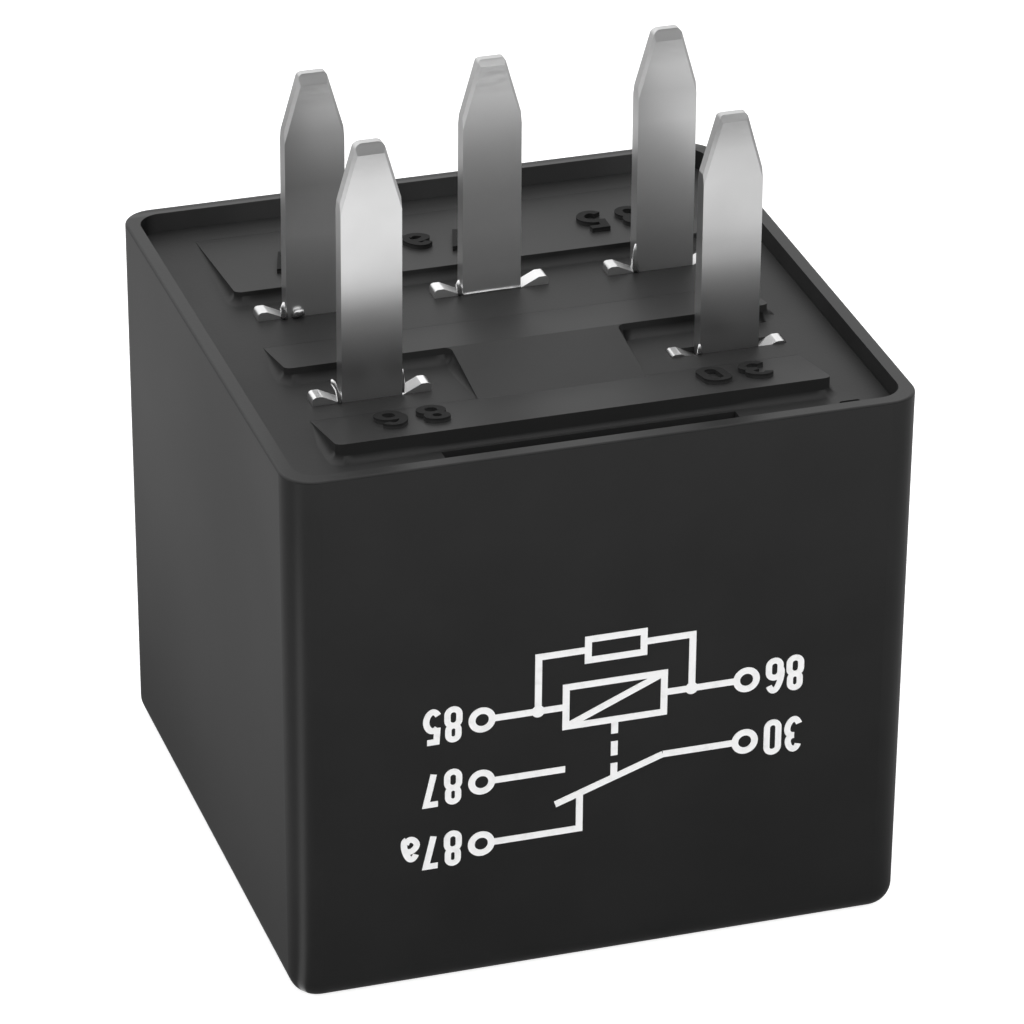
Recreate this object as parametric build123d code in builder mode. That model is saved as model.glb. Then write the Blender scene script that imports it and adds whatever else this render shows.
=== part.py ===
from build123d import *
import math
import os

os.makedirs("parts", exist_ok=True)

# Automotive changeover relay, standing on its flat closed end with the blades up.
# Millimetres, +Z up, origin at the middle of the closed end, printed face towards -Y.

# Cover: a moulded can, open at the top, slightly narrower at its closed end.
cover_w = 29.2
cover_d = 29.2
cover_h = 26.4
draft_inset = 0.18
corner_r = 1.5
closed_edge_r = 1.1
rim_edge_r = 0.12
rim_wall = 0.65
cover_wall = 0.95
cover_floor = 1.1

# Base plate and the sealing compound that is poured round it.
rim_recess = 0.95
compound_t = 0.6
base_t = 1.65
base_gap = 0.05
compound_gap = 0.01
side_margin = 2.5
back_margin = 1.55
front_margin = 2.65
ridge_corner_r = 0.35

# Ridges of the base: each rises towards the front and ends in a step. The ends that
# face a row of blades keep their distance from the row's middle.
back_ridge_rise = 0.6
back_ridge_to_row = 1.62
row_to_mid_ridge = 3.12
mid_ridge_rise = 0.7
mid_ridge_to_row = 2.22
row_to_front_ridge = 1.73
front_ridge_rise = 0.88
saddle_overlap = 0.2
saddle_left_w = 3.95
saddle_right_w = 3.91
saddle_corner_r = 0.35

# Unfilled slit in the compound along the front wall, and a small chip beside it.
slit_len = 13.6
slit_depth = 1.5
slit_lip = 0.3
chip_len = 1.0
chip_w = 0.35
chip_depth = 0.4
chip_gap = 0.05
chip_from_wall = 1.75

# Blades: 2.8 mm tabs on a square grid.
blade_w = 2.8
blade_t = 0.8
blade_len = 11.55
coil_blade_extra = 0.8
far_coil_blade_extra = 0.42
open_blade_extra = 0.35
blade_tip_w = 1.24
blade_taper = 2.75
blade_edge = 0.14
blade_tip_r = 0.22
coil_blade_tip_r = 0.36
tip_bevel_w = 0.22
tip_bevel_h = 0.3
long_tip_bevel_h = 0.5
shoulder_w = 5.5
shoulder_rise = 0.42
shoulder_low_rise = 0.12
shoulder_dip = 0.44
shoulder_top_w = 0.45
shoulder_edge_r = 0.2
slot_gap = 0.05
column_pitch = 8.4
column_shift = 0.2
row_pitch = 9.0
back_row_y = 3.68
tail_w = 1.2
tail_shift = 1.2
tail_len = 3.7

# Raised numbers beside the blades.
number_h = 2.35
number_w = 1.3
number_pitch = 1.95
number_stroke = 0.38
number_relief = 0.22
number_inset = 0.9
front_number_from_step = 2.3
back_number_from_step = 2.9

# White circuit print on the front of the cover.
print_t = 0.03
print_line = 0.32
print_shift = 0.4
print_ring_r = 0.47
print_dot_r = 0.3
print_left_x = 6.2
print_right_x = 6.2
print_top_z = 13.45
print_step_z = 3.19
print_text_h = 1.82
print_text_w = 0.84
print_text_pitch = 0.98
print_text_line = 0.29
print_text_gap = 0.28
dash_gap = 0.4
dash_count = 3

# Magnet: yoke, core, bobbin and winding.
yoke_t = 1.5
yoke_h = 15.8
yoke_to_wall = 2.87
yoke_foot_to_blades = 0.58
horn_w = 1.9
horn_h = 0.8
core_r = 2.75
core_neck_r = 2.2
core_head_r = 2.7
core_head_t = 0.4
pole_r = 4.3
pole_t = 0.9
fit_gap = 0.05
bobbin_wall = 0.8
flange_t = 0.9
flange_to_yoke = 0.35
flange_to_contact = 1.3
flange_over_winding_x = 0.5
flange_over_winding_y = 1.2
ear_margin = 0.75
post_r = 0.8
post_x = 4.6
post_from_leg = 1.9
spring_lug_t = 0.9
spring_lug_drop = 7.3
spring_lug_half_w = 1.5

# Armature, contact leaf and contacts.
rest_angle = 3.0
armature_t = 1.2
armature_in_yoke = 0.3
armature_past_pole = 0.95
armature_shim = 0.05
neck_to_horn = 0.3
neck_len = 1.75
tail_half_w = 2.0
tail_past_spring = 1.05
leaf_t = 0.2
leaf_start = 2.0
leaf_base_len = 3.2
leaf_half_w = 1.6
leaf_x = -2.6
leaf_base_left = -4.4
leaf_base_right = 5.0
leaf_wing_w = 2.8
contact_r = 1.4
contact_head_t = 0.45
contact_dome_r = 5.0
contact_shank_r = 0.7
contact_gap = 0.05
fixed_contact_t = 0.6
rivet_r = 0.6
rivet_head_r = 1.05
rivet_head_t = 0.4
rivet_x = 2.6
rivet_reach = 3.5

# Fixed contact carriers, which drop behind the coil.
carrier_to_wall = 1.27
carrier_gap = 0.6
carrier_edge = 1.4
carrier_half_w = 2.1
carrier_to_contact = 2.8
carrier_foot_reach = 1.6
carrier_ledge_h = 2.0
bend_r = 0.3

# Return spring, flexible lead, coil ends and suppression resistor.
spring_wire = 0.3
spring_r = 0.95
spring_turns = 8
spring_end = 1.0
spring_bend_r = 0.35
spring_to_yoke = 1.4
braid_w = 2.2
braid_t = 0.7
braid_weld = 2.6
braid_bow = 1.5
common_tail_w = 2.4
common_tail_len = 10.6
resistor_r = 1.2
resistor_len = 6.3
resistor_drop = 5.8
resistor_lead_r = 0.3
resistor_lead_len = 1.8
resistor_lead_bend = 0.9
coil_wire_r = 0.12
joint_wall = 0.3
joint_h = 0.7

# Levels and places that follow from the sizes above.
flange_z = cover_h - rim_recess
compound_z = flange_z - compound_t
base_z = compound_z - base_t
draft_angle = math.degrees(math.atan(draft_inset / cover_h))
rim_in_w = cover_w - 2 * rim_wall
rim_in_d = cover_d - 2 * rim_wall
well_w = cover_w - 2 * (draft_inset + cover_wall)
well_d = cover_d - 2 * (draft_inset + cover_wall)
front_row_y = back_row_y - row_pitch
left_x = column_shift - column_pitch
mid_x = column_shift
right_x = column_shift + column_pitch
ridge_half_w = rim_in_w / 2 - side_margin
back_ridge_start = rim_in_d / 2 - back_margin
back_ridge_end = back_row_y + back_ridge_to_row
mid_ridge_start = back_row_y - row_to_mid_ridge
mid_ridge_end = front_row_y + mid_ridge_to_row
front_ridge_start = front_row_y - row_to_front_ridge
front_ridge_end = front_margin - rim_in_d / 2
saddle_end = front_ridge_start - saddle_overlap
saddle_left = mid_x - saddle_left_w
saddle_right = mid_x + saddle_right_w
back_number_y = back_ridge_end + back_number_from_step
front_number_y = front_ridge_end + front_number_from_step
slit_from_y = -rim_in_d / 2
slit_to_y = front_ridge_end - slit_lip
foot_z = base_z - yoke_t
hinge_y = yoke_to_wall - well_d / 2
yoke_in_y = hinge_y + yoke_t
carrier_y = well_d / 2 - carrier_to_wall - blade_t / 2
contact_y = carrier_y - carrier_to_contact
contact_reach = contact_y - hinge_y
carrier_split_x = leaf_x + carrier_edge
flange_front_y = yoke_in_y + flange_to_yoke
flange_back_y = contact_y - rivet_head_r - flange_to_contact
coil_y = (flange_front_y + flange_back_y) / 2
flange_half_y = (flange_back_y - flange_front_y) / 2
winding_r = flange_half_y - flange_over_winding_y
flange_half_x = winding_r + flange_over_winding_x
yoke_half_w = winding_r
armature_half_w = yoke_half_w - armature_in_yoke
neck_half_w = yoke_half_w - horn_w - neck_to_horn
armature_reach = coil_y + pole_r + armature_past_pole - hinge_y
yoke_foot_back = back_row_y - blade_t / 2 - yoke_foot_to_blades
post_y = yoke_in_y + post_from_leg
hinge_z = base_z - yoke_h
pole_z = hinge_z + pole_t
lower_flange_z = pole_z + fit_gap
lower_flange_top = lower_flange_z + flange_t
upper_flange_top = foot_z - fit_gap
upper_flange_z = upper_flange_top - flange_t
tube_in_r = core_r + fit_gap
tube_r = tube_in_r + bobbin_wall
tail_z = base_z - tail_len
joint_z = tail_z + 0.2
left_tail_x = left_x - tail_shift
right_tail_x = right_x + tail_shift
spring_y = hinge_y - spring_to_yoke
tail_hole_y = spring_y - spring_bend_r
lug_hole_y = spring_y + spring_bend_r
tail_reach = spring_to_yoke + tail_past_spring
lug_z = base_z - spring_lug_drop - spring_lug_t
sin_rest = math.sin(math.radians(rest_angle))
cos_rest = math.cos(math.radians(rest_angle))
leaf_top = -armature_shim - armature_t
leaf_bottom = leaf_top - leaf_t
contact_top = leaf_top + contact_head_t
contact_low = leaf_bottom - contact_head_t
lead_gap = resistor_lead_r + blade_t / 2 + joint_wall + compound_gap
front_lead_y = front_row_y + lead_gap
back_lead_y = back_row_y + lead_gap
resistor_low_y = front_lead_y + resistor_lead_len
resistor_high_y = resistor_low_y + resistor_len
resistor_loop_y = (coil_y + winding_r + carrier_y - blade_t / 2) / 2

# The armature's own plane, tipped down at the back to its rest angle about the hinge.
arm_plane = Plane(origin=(0, hinge_y, hinge_z), x_dir=(1, 0, 0), z_dir=(0, sin_rest, cos_rest))
front_plane = Plane(
    origin=(0, -cover_d / 2, cover_h),
    x_dir=(1, 0, 0),
    z_dir=(0, -math.cos(math.radians(draft_angle)), -math.sin(math.radians(draft_angle))),
)


def rest_z(reach, level):
    """Height at rest of a point of the armature, by its reach from the hinge and its level."""
    return hinge_z - reach * sin_rest + level * cos_rest


# Strokes of the plain figures, in a cell 1 wide and 1 high: closed loops by two opposite
# corners, straight lines, and curves through their points
figure_strokes = {
    "0": [("loop", (0, 0), (1, 1))],
    "3": [
        ("curve", (0.04, 0.85), (0.5, 1), (0.92, 0.77), (0.4, 0.54)),
        ("curve", (0.4, 0.54), (1, 0.28), (0.5, 0), (0, 0.16)),
    ],
    "5": [
        ("line", (0.92, 1), (0.14, 1), (0.06, 0.54)),
        ("curve", (0.06, 0.54), (0.52, 0.62), (1, 0.31), (0.5, 0), (0, 0.13)),
    ],
    "6": [
        ("loop", (0, 0), (1, 0.57)),
        ("curve", (0, 0.29), (0.06, 0.76), (0.52, 1), (0.96, 0.84)),
    ],
    "7": [("line", (0, 1), (1, 1), (0.36, 0))],
    "8": [("loop", (0, 0), (1, 0.54)), ("loop", (0.08, 0.54), (0.92, 1))],
    "a": [
        ("curve", (0.06, 0.52), (0.48, 0.66), (0.92, 0.45), (0.92, 0)),
        ("curve", (0.92, 0.36), (0.4, 0.38), (0, 0.18), (0.4, 0), (0.92, 0.14)),
    ],
}


def draw_stroke(points, kind, stroke):
    """Trace one stroke of a figure into the open sketch."""
    with BuildLine() as stroke_line:
        if kind == "curve":
            Spline(*points)
        elif kind == "line":
            Polyline(*points)
        else:
            (x_from, y_from), (x_to, y_to) = points
            bow = min(x_to - x_from, y_to - y_from) / 2
            x_mid = (x_from + x_to) / 2
            y_mid = (y_from + y_to) / 2
            low = y_from + bow
            high = y_to - bow
            if x_to - x_from < y_to - y_from:
                ThreePointArc((x_from, low), (x_mid, y_from), (x_to, low))
                Line((x_to, low), (x_to, high))
                ThreePointArc((x_to, high), (x_mid, y_to), (x_from, high))
                Line((x_from, high), (x_from, low))
            else:
                left = x_from + bow
                right = x_to - bow
                ThreePointArc((left, y_from), (x_from, y_mid), (left, y_to))
                Line((left, y_to), (right, y_to))
                ThreePointArc((right, y_to), (x_to, y_mid), (right, y_from))
                Line((right, y_from), (left, y_from))
    trace(stroke_line.line, line_width=stroke)


def draw_figures(text, centre_x, centre_y, height, width, pitch, stroke):
    """Trace a short number into the open sketch, upside down as the object stands."""
    first_x = centre_x + (pitch * (len(text) - 1) + width - stroke) / 2
    cell_y = centre_y + (height - stroke) / 2
    for place, figure in enumerate(text):
        cell_x = first_x - place * pitch
        for kind, *points in figure_strokes[figure]:
            placed = [
                (cell_x - x * (width - stroke), cell_y - y * (height - stroke)) for x, y in points
            ]
            if kind == "loop":
                placed.reverse()
            draw_stroke(placed, kind, stroke)


# Cover
with BuildPart() as cover:
    with BuildSketch(Plane.XY.offset(cover_h)):
        RectangleRounded(cover_w, cover_d, corner_r)
    extrude(amount=-cover_h, taper=draft_angle)
    fillet(cover.faces().sort_by(Axis.Z)[0].edges(), closed_edge_r)
    fillet(cover.faces().sort_by(Axis.Z)[-1].edges(), rim_edge_r)
    with BuildSketch(Plane.XY.offset(base_z)):
        RectangleRounded(rim_in_w, rim_in_d, corner_r - rim_wall / 2)
    extrude(amount=cover_h - base_z, mode=Mode.SUBTRACT)
    with BuildSketch(Plane.XY.offset(cover_floor)):
        RectangleRounded(well_w, well_d, corner_r - rim_wall)
    extrude(amount=base_z - cover_floor, mode=Mode.SUBTRACT)

# White circuit print on the front of the cover
first_row = print_top_z - cover_h
second_row = first_row - print_step_z
third_row = second_row - print_step_z
ring_left = print_shift - print_left_x
ring_right = print_shift + print_right_x
coil_box_w = 4.6
coil_box_h = 2.0
resistor_box_w = 2.6
resistor_box_h = 1.05
branch_x = 3.6
bridge_rise = 2.75
arm_tip_x = -2.75
arm_tip_rise = -1.75
fixed_tip_x = -1.6
fixed_tip_rise = 1.8

with BuildPart() as circuit_print:
    with BuildSketch(front_plane):
        # Coil box with its diagonal, and the resistor box above it
        with Locations((print_shift, first_row)):
            Rectangle(coil_box_w + print_line, coil_box_h + print_line)
            Rectangle(coil_box_w - print_line, coil_box_h - print_line, mode=Mode.SUBTRACT)
        with BuildLine():
            Line(
                (print_shift - coil_box_w / 2, first_row - coil_box_h / 2),
                (print_shift + coil_box_w / 2, first_row + coil_box_h / 2),
            )
        trace(line_width=print_line)
        with Locations((print_shift, first_row + bridge_rise)):
            Rectangle(resistor_box_w + print_line, resistor_box_h + print_line)
        with Locations((print_shift, first_row + bridge_rise)):
            Rectangle(resistor_box_w - print_line, resistor_box_h - print_line, mode=Mode.SUBTRACT)
        # Wires
        for side in (-1, 1):
            branch = print_shift + side * branch_x
            ring = ring_left if side < 0 else ring_right
            with BuildLine():
                Line(
                    (print_shift + side * resistor_box_w / 2, first_row + bridge_rise),
                    (branch, first_row + bridge_rise),
                )
            trace(line_width=print_line)
            with BuildLine():
                Line((branch, first_row + bridge_rise + print_line / 2), (branch, first_row))
            trace(line_width=print_line)
            with BuildLine():
                Line(
                    (ring - side * print_ring_r, first_row),
                    (print_shift + side * coil_box_w / 2, first_row),
                )
            trace(line_width=print_line)
            with Locations((branch, first_row)):
                Circle(print_dot_r)
        with BuildLine():
            Line((ring_left + print_ring_r, second_row), (print_shift - coil_box_w / 2, second_row))
        trace(line_width=print_line)
        with BuildLine():
            Line((ring_left + print_ring_r, third_row), (fixed_tip_x + print_shift, third_row))
        trace(line_width=print_line)
        with BuildLine():
            Line(
                (fixed_tip_x + print_shift, third_row - print_line / 2),
                (fixed_tip_x + print_shift, third_row + fixed_tip_rise),
            )
        trace(line_width=print_line)
        with BuildLine():
            Line(
                (ring_right - print_ring_r, second_row),
                (print_shift + coil_box_w / 2, second_row),
            )
        trace(line_width=print_line)
        with BuildLine():
            Line(
                (print_shift + coil_box_w / 2, second_row),
                (print_shift + arm_tip_x, second_row + arm_tip_rise),
            )
        trace(line_width=print_line)
        # Broken line from the coil to the switch arm
        dash_top = first_row - coil_box_h / 2
        arm_slope = arm_tip_rise / (arm_tip_x - coil_box_w / 2)
        dash_room = dash_top - second_row + arm_slope * coil_box_w / 2
        dash_len = (dash_room - dash_gap * (dash_count - 1)) / dash_count
        for dash in range(dash_count):
            dash_z = dash_top - dash * (dash_len + dash_gap)
            with BuildLine():
                Line((print_shift, dash_z), (print_shift, dash_z - dash_len))
            trace(line_width=print_line)
        # Terminal rings and their numbers
        for ring_x, ring_y in (
            (ring_left, first_row),
            (ring_left, second_row),
            (ring_left, third_row),
            (ring_right, first_row),
            (ring_right, second_row),
        ):
            with BuildLine():
                CenterArc((ring_x, ring_y), print_ring_r, 0, 180)
            trace(line_width=print_line)
            with BuildLine():
                CenterArc((ring_x, ring_y), print_ring_r, 180, 180)
            trace(line_width=print_line)
        for text, side, row in (
            ("85", -1, first_row),
            ("87", -1, second_row),
            ("87a", -1, third_row),
            ("86", 1, first_row),
            ("30", 1, second_row),
        ):
            text_w = print_text_pitch * (len(text) - 1) + print_text_w
            ring = ring_left if side < 0 else ring_right
            ring_edge = print_ring_r + print_line / 2
            draw_figures(
                text,
                ring + side * (ring_edge + print_text_gap + text_w / 2),
                row,
                print_text_h,
                print_text_w,
                print_text_pitch,
                print_text_line,
            )
    extrude(amount=print_t)


def terminal_slots(clearance, top_z, depth):
    """Cut the five shoulder slots downwards from a level of the open part."""
    with BuildSketch(Plane.XY.offset(top_z)) as slots:
        with Locations(
            (left_x, back_row_y),
            (mid_x, back_row_y),
            (right_x, back_row_y),
            (left_x, front_row_y),
            (right_x, front_row_y),
        ):
            Rectangle(shoulder_w + 2 * clearance, blade_t + 2 * clearance)
    extrude(slots.sketch, amount=-depth, mode=Mode.SUBTRACT)


def ridge_prism(points, x_from, x_to):
    """Extrude a ridge section, given as (y, rise above the compound), along X."""
    with BuildSketch(Plane.YZ.offset(x_from)) as section:
        Polygon(
            *[(y, flange_z + rise) for y, rise in points],
            (points[-1][0], compound_z),
            (points[0][0], compound_z),
            align=None,
        )
    extrude(section.sketch, amount=x_to - x_from)


def ridge_plane(start_y, end_y, rise):
    """Plane on a ridge's sloping top, with +X along the part's +X."""
    slope = math.atan2(rise, start_y - end_y)
    return Plane(
        origin=(0, start_y, flange_z),
        x_dir=(1, 0, 0),
        z_dir=(0, math.sin(slope), math.cos(slope)),
    )


def raise_figures(plane, row_y, labels):
    """Raise numbers from a plane, each at its place along the row."""
    with BuildSketch(plane) as figures:
        for text, x in labels:
            draw_figures(text, x, row_y, number_h, number_w, number_pitch, number_stroke)
    extrude(figures.sketch, amount=number_relief, both=True)


def saddle_outline(clearance):
    """Plan of the saddle, with hollow corners where it meets the middle ridge."""
    left = saddle_left - clearance
    right = saddle_right + clearance
    back = mid_ridge_end - clearance
    bend = saddle_corner_r - clearance
    with BuildLine() as outline:
        Polyline((left, back - bend), (left, saddle_end), (right, saddle_end), (right, back - bend))
        RadiusArc((right, back - bend), (right + bend, back), bend)
        Polyline((right + bend, back), (left - bend, back))
        RadiusArc((left - bend, back), (left, back - bend), bend)
    make_face(outline.edges())


# Base
saddle_meet = front_ridge_rise * (front_ridge_start - saddle_end)
saddle_meet = saddle_meet / (front_ridge_start - front_ridge_end)
with BuildPart() as saddle:
    with BuildSketch(Plane.XY.offset(compound_z)):
        saddle_outline(0)
    extrude(amount=compound_t + mid_ridge_rise)
    with BuildSketch(Plane.YZ):
        Polygon(
            (mid_ridge_end, compound_z),
            (mid_ridge_end, flange_z + mid_ridge_rise),
            (saddle_end, flange_z + saddle_meet),
            (saddle_end, compound_z),
            align=None,
        )
    extrude(amount=cover_w, both=True, mode=Mode.INTERSECT)

with BuildPart() as base:
    with BuildSketch(Plane.XY.offset(base_z)):
        RectangleRounded(
            rim_in_w - 2 * base_gap,
            rim_in_d - 2 * base_gap,
            corner_r - rim_wall / 2 - base_gap,
        )
    extrude(amount=base_t)
    ridge_prism(
        [(back_ridge_start, 0), (back_ridge_end, back_ridge_rise)], -ridge_half_w, ridge_half_w
    )
    ridge_prism(
        [(mid_ridge_start, 0), (mid_ridge_end, mid_ridge_rise)], -ridge_half_w, ridge_half_w
    )
    ridge_prism(
        [(front_ridge_start, 0), (front_ridge_end, front_ridge_rise)],
        -ridge_half_w,
        ridge_half_w,
    )
    add(saddle.part)
    corners = base.edges().filter_by(Axis.Z).filter_by(
        lambda edge: edge.center().Z > compound_z
        and abs(abs(edge.center().X) - ridge_half_w) < base_gap
        and edge.length > compound_t + 0.5 * back_ridge_rise
    )
    fillet(corners, ridge_corner_r)
    raise_figures(
        ridge_plane(back_ridge_start, back_ridge_end, back_ridge_rise),
        back_number_y - back_ridge_start,
        (
            ("87", mid_x - column_pitch + number_inset),
            ("87a", mid_x),
            ("85", mid_x + column_pitch - number_inset),
        ),
    )
    raise_figures(
        ridge_plane(front_ridge_start, front_ridge_end, front_ridge_rise),
        front_number_y - front_ridge_start,
        (
            ("86", mid_x - column_pitch + number_inset),
            ("30", mid_x + column_pitch - number_inset),
        ),
    )
    terminal_slots(slot_gap, compound_z, base_t)
    # Slit along the front wall
    with BuildSketch(Plane.XY.offset(compound_z)):
        with Locations((0, (slit_from_y + slit_to_y) / 2)):
            Rectangle(slit_len, slit_to_y - slit_from_y)
    extrude(amount=-(slit_depth - compound_t), mode=Mode.SUBTRACT)
    # Pocket for the riveted head of the core
    with BuildSketch(Plane.XY.offset(base_z)):
        with Locations((0, coil_y)):
            Circle(core_head_r + fit_gap)
    extrude(amount=core_head_t + fit_gap, mode=Mode.SUBTRACT)
    # Posts that locate the yoke
    with BuildSketch(Plane.XY.offset(base_z)):
        with Locations((-post_x, post_y), (post_x, post_y)):
            Circle(post_r)
    extrude(amount=-(yoke_t - fit_gap))

# Sealing compound between the base, its ridges, the blades and the cover
with BuildPart() as compound:
    with BuildSketch(Plane.XY.offset(compound_z)):
        RectangleRounded(
            rim_in_w - 2 * compound_gap,
            rim_in_d - 2 * compound_gap,
            corner_r - rim_wall / 2 - compound_gap,
        )
    extrude(amount=compound_t)
    with BuildSketch(Plane.XY.offset(compound_z)):
        for y_from, y_to in (
            (back_ridge_start, back_ridge_end),
            (mid_ridge_start, mid_ridge_end),
            (front_ridge_start, front_ridge_end),
        ):
            with Locations((0, (y_from + y_to) / 2)):
                Rectangle(
                    2 * (ridge_half_w + compound_gap), y_from - y_to + 2 * compound_gap
                )
        saddle_outline(compound_gap)
    extrude(amount=compound_t, mode=Mode.SUBTRACT)
    ridge_ends = (back_ridge_end, mid_ridge_end, front_ridge_end)
    fillet(
        compound.edges().filter_by(Axis.Z).filter_by(
            lambda edge: abs(abs(edge.center().X) - ridge_half_w - compound_gap) < compound_gap
            and min(abs(edge.center().Y - end) for end in ridge_ends) < 2 * compound_gap
        ),
        ridge_corner_r + compound_gap,
    )
    terminal_slots(compound_gap, flange_z, compound_t)
    with BuildSketch(Plane.XY.offset(flange_z)):
        with Locations((0, (slit_from_y + slit_to_y) / 2)):
            Rectangle(slit_len, slit_to_y - slit_from_y)
    extrude(amount=-compound_t, mode=Mode.SUBTRACT)
    with BuildSketch(Plane.XY.offset(flange_z)):
        with Locations((ridge_half_w + chip_gap + chip_len / 2, slit_from_y + chip_from_wall)):
            SlotOverall(chip_len, chip_w)
    extrude(amount=-chip_depth, mode=Mode.SUBTRACT)


def blade_sketch(x_mid, extra, rise):
    """Outline of a blade and its shoulders, from the underside of the base up."""
    half = blade_w / 2
    tip_half = blade_tip_w / 2
    tip_z = flange_z + blade_len + extra
    shoulder_half = shoulder_w / 2
    top_z = flange_z + rise
    with BuildLine() as outline:
        Polyline(
            (x_mid - shoulder_half, base_z),
            (x_mid - shoulder_half, top_z),
            (x_mid - shoulder_half + shoulder_top_w, top_z),
            (x_mid - half, top_z - shoulder_dip),
            (x_mid - half, tip_z - blade_taper),
            (x_mid - tip_half, tip_z),
            (x_mid + tip_half, tip_z),
            (x_mid + half, tip_z - blade_taper),
            (x_mid + half, top_z - shoulder_dip),
            (x_mid + shoulder_half - shoulder_top_w, top_z),
            (x_mid + shoulder_half, top_z),
            (x_mid + shoulder_half, base_z),
            close=True,
        )
    make_face(outline.edges())


def finish_blade(part, y_mid, extra, rise, corner_r, bevel_h):
    """Round and bevel the tip, coin its edges and round the upper corners of the shoulders."""
    tip_z = flange_z + blade_len + extra
    half = blade_t / 2
    fillet(
        part.edges().filter_by(Axis.Y).filter_by(
            lambda edge: tip_z - edge.center().Z < compound_gap
        ),
        corner_r,
    )
    chamfer(
        part.edges().filter_by(
            lambda edge: edge.center().Z > tip_z - blade_taper
            and half - abs(edge.center().Y - y_mid) < compound_gap
        ),
        blade_edge,
    )
    with BuildSketch(Plane.YZ) as bevels:
        for side in (-1, 1):
            Polygon(
                (y_mid + side * half, tip_z - bevel_h),
                (y_mid + side * half, tip_z),
                (y_mid + side * (half - tip_bevel_w), tip_z),
                align=None,
            )
    extrude(bevels.sketch, amount=cover_w, both=True, mode=Mode.SUBTRACT)
    shoulder_corners = part.edges().filter_by(Axis.Y).filter_by(
        lambda edge: abs(edge.center().Z - flange_z - rise) < compound_gap
    )
    fillet(shoulder_corners, shoulder_edge_r)


# Coil terminals: a blade with a narrow tail for the coil end
coil_terminals = {
    "terminal_85": (right_x, back_row_y, right_tail_x, far_coil_blade_extra),
    "terminal_86": (left_x, front_row_y, left_tail_x, coil_blade_extra),
}
for name, (x_mid, y_mid, tail_x, extra) in coil_terminals.items():
    with BuildPart() as coil_terminal:
        with BuildSketch(Plane.XZ.offset(-(y_mid - blade_t / 2))):
            blade_sketch(x_mid, extra, shoulder_rise)
        extrude(amount=-blade_t)
        finish_blade(
            coil_terminal, y_mid, extra, shoulder_rise, coil_blade_tip_r, long_tip_bevel_h
        )
        with BuildSketch(Plane.XZ.offset(-(y_mid - blade_t / 2))):
            with Locations((tail_x, base_z - tail_len / 2)):
                Rectangle(tail_w, tail_len)
        extrude(amount=-blade_t)
    coil_terminal.part.label = name
    export_step(coil_terminal.part, f"parts/{name}.step")

# Common terminal: a blade with a long tail for the flexible lead
with BuildPart() as terminal_30:
    with BuildSketch(Plane.XZ.offset(-(front_row_y - blade_t / 2))):
        blade_sketch(right_x, 0, shoulder_low_rise)
    extrude(amount=-blade_t)
    finish_blade(terminal_30, front_row_y, 0, shoulder_low_rise, blade_tip_r, tip_bevel_h)
    with BuildSketch(Plane.XZ.offset(-(front_row_y - blade_t / 2))):
        with Locations((right_x, base_z - common_tail_len / 2)):
            Rectangle(common_tail_w, common_tail_len)
    extrude(amount=-blade_t)

# Levels of the fixed contacts: each leaves a small gap at the moving contact's end of travel
closed_contact_z = hinge_z + contact_top + contact_gap
dome_centre = contact_low + contact_dome_r
open_contact_z = rest_z(contact_reach, dome_centre) - contact_dome_r - contact_gap
ledge_z = closed_contact_z + fixed_contact_t
foot_top_z = open_contact_z - fixed_contact_t
carrier_front = contact_y - carrier_foot_reach
carrier_back = carrier_y + blade_t / 2


def carrier_strip(low_z, x_from, x_to):
    """Strip that runs back under the base, drops behind the coil and turns forward."""
    half = blade_t / 2
    with BuildLine() as route:
        FilletPolyline(
            (back_row_y - half, base_z - half),
            (carrier_y, base_z - half),
            (carrier_y, low_z),
            (carrier_front, low_z),
            radius=bend_r + half,
        )
    with BuildSketch(Plane.YZ.offset(x_from)) as section:
        trace(route.line, line_width=blade_t)
    extrude(section.sketch, amount=x_to - x_from)


def trim_box(x_from, x_to, y_from, y_to, z_from, z_to, mode=Mode.SUBTRACT):
    """Add or cut a box between two corners of the open part."""
    with BuildSketch(Plane.XY.offset(z_from)) as footprint:
        with Locations(((x_from + x_to) / 2, (y_from + y_to) / 2)):
            Rectangle(x_to - x_from, y_to - y_from)
    extrude(footprint.sketch, amount=z_to - z_from, mode=mode)


def shank_hole(z_from, z_to):
    """Cut the hole for the shank of a fixed contact through the open carrier."""
    with BuildSketch(Plane.XY.offset(z_from)) as hole:
        with Locations((leaf_x, contact_y)):
            Circle(contact_shank_r + compound_gap)
    extrude(hole.sketch, amount=z_to - z_from, mode=Mode.SUBTRACT)


# Normally closed contact carrier: drops to the left of the column's middle and turns forward low
closed_left = leaf_x - leaf_half_w
closed_right = mid_x + shoulder_w / 2
with BuildPart() as terminal_87a:
    carrier_strip(foot_top_z - blade_t / 2, closed_left, closed_right)
    trim_box(
        closed_left,
        carrier_split_x + carrier_gap,
        carrier_y - blade_t / 2 - bend_r,
        carrier_back + blade_t,
        foot_top_z - 2 * blade_t,
        base_z + blade_t,
    )
    trim_box(
        closed_left,
        mid_x - shoulder_w / 2,
        back_row_y - blade_t,
        carrier_y,
        base_z - 2 * blade_t,
        base_z + blade_t,
    )
    with BuildSketch(Plane.XZ.offset(-(back_row_y - blade_t / 2))):
        blade_sketch(mid_x, 0, shoulder_rise)
    extrude(amount=-blade_t)
    finish_blade(terminal_87a, back_row_y, 0, shoulder_rise, blade_tip_r, tip_bevel_h)
    shank_hole(foot_top_z - 2 * blade_t, foot_top_z + blade_t)

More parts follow.
